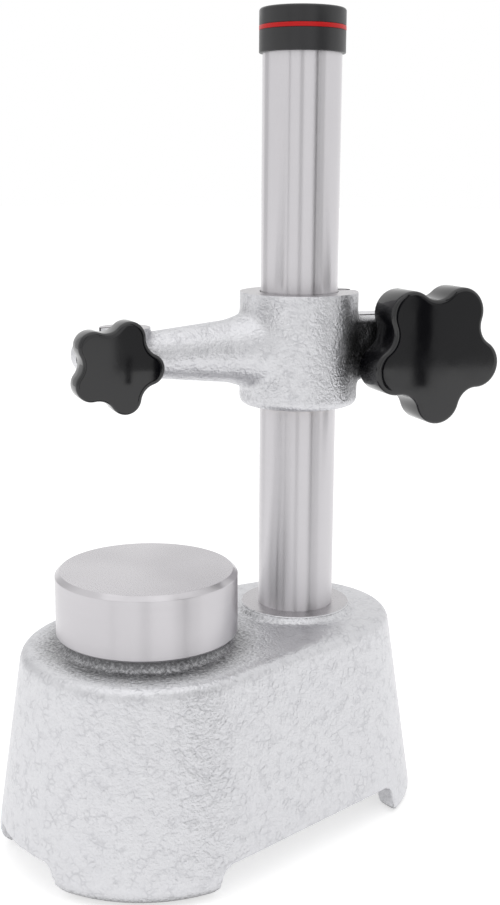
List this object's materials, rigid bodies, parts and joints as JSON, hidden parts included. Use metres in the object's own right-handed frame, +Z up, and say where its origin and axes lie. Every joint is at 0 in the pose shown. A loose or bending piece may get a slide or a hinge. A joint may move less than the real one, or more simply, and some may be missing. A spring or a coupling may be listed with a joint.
{
  "type": "comparator stand",
  "caption": "Bench stand with a hollow cast base, a round measuring table, a steel column and a sliding, swinging arm that clamps the stem of a dial indicator.",
  "frame": {"origin": "middle of the measuring table's face, on which everything is measured", "axes": "+Z up, square to the table's face and along the column; +Y from the table towards the column; +X to the right of a user who faces the table with the column behind it"},
  "size_m": [0.0842, 0.1413, 0.2294],
  "materials": {
    "hammer_paint": "pale silver-grey hammer-finish enamel over a casting",
    "lapped_steel": "finely lapped on top, turned on its side",
    "ground_steel": "ground and polished, with soft vertical reflections",
    "blackened_steel": "blackened",
    "plated_steel": "zinc plated",
    "cap_plastic": "satin black",
    "ring_plastic": "red",
    "bush_brass": "reamed",
    "insert_brass": "turned, grooved outside",
    "knob_plastic": "polished black, smooth faces"
  },
  "bodies": {
    "base": {"base_casting": "hammer_paint", "measuring_table": "lapped_steel", "table_screw": "blackened_steel", "table_washer": "plated_steel", "column": "ground_steel", "column_screw": "blackened_steel", "column_washer": "plated_steel", "column_cap": "cap_plastic", "cap_ring": "ring_plastic"},
    "guide": {"guide_bush": "bush_brass"},
    "carrier": {"carrier_casting": "hammer_paint", "column_clamp_nut": "plated_steel", "stem_clamp_nut": "plated_steel"},
    "column_clamp_slider": {"column_clamp_washer": "plated_steel"},
    "column_clamp": {"column_clamp_stud": "blackened_steel", "column_clamp_insert": "insert_brass", "column_clamp_knob": "knob_plastic"},
    "stem_clamp_slider": {"stem_clamp_washer": "plated_steel"},
    "stem_clamp": {"stem_clamp_stud": "blackened_steel", "stem_clamp_insert": "insert_brass", "stem_clamp_knob": "knob_plastic"}
  },
  "joints": [
    {"name": "carrier_height", "type": "slide", "parent": "base", "child": "guide", "axis": [0, 0, 1], "range_m": [-0.036, 0.0645]},
    {"name": "arm_swing", "type": "hinge", "parent": "guide", "child": "carrier", "pos_m": [0, 0.052, 0.057], "axis": [0, 0, 1], "continuous": true},
    {"name": "column_clamp_travel", "type": "slide", "parent": "carrier", "child": "column_clamp_slider", "axis": [0.9724, -0.2334, 0], "range_m": [0, 0.00125]},
    {"name": "column_clamp_turn", "type": "hinge", "parent": "column_clamp_slider", "child": "column_clamp", "pos_m": [0.01627, 0.08121, 0.057], "axis": [0.9724, -0.2334, 0], "range_deg": [0, 360]},
    {"name": "stem_clamp_travel", "type": "slide", "parent": "carrier", "child": "stem_clamp_slider", "axis": [0.9724, -0.2334, 0], "range_m": [0, 0.0008]},
    {"name": "stem_clamp_turn", "type": "hinge", "parent": "stem_clamp_slider", "child": "stem_clamp", "pos_m": [-0.00769, -0.00786, 0.057], "axis": [0.9724, -0.2334, 0], "range_deg": [0, 360]}
  ],
  "couplings": [
    {"joint": "column_clamp_turn", "follows": "column_clamp_travel", "rad_per_m": 5026.5},
    {"joint": "stem_clamp_turn", "follows": "stem_clamp_travel", "rad_per_m": 7853.9}
  ]
}
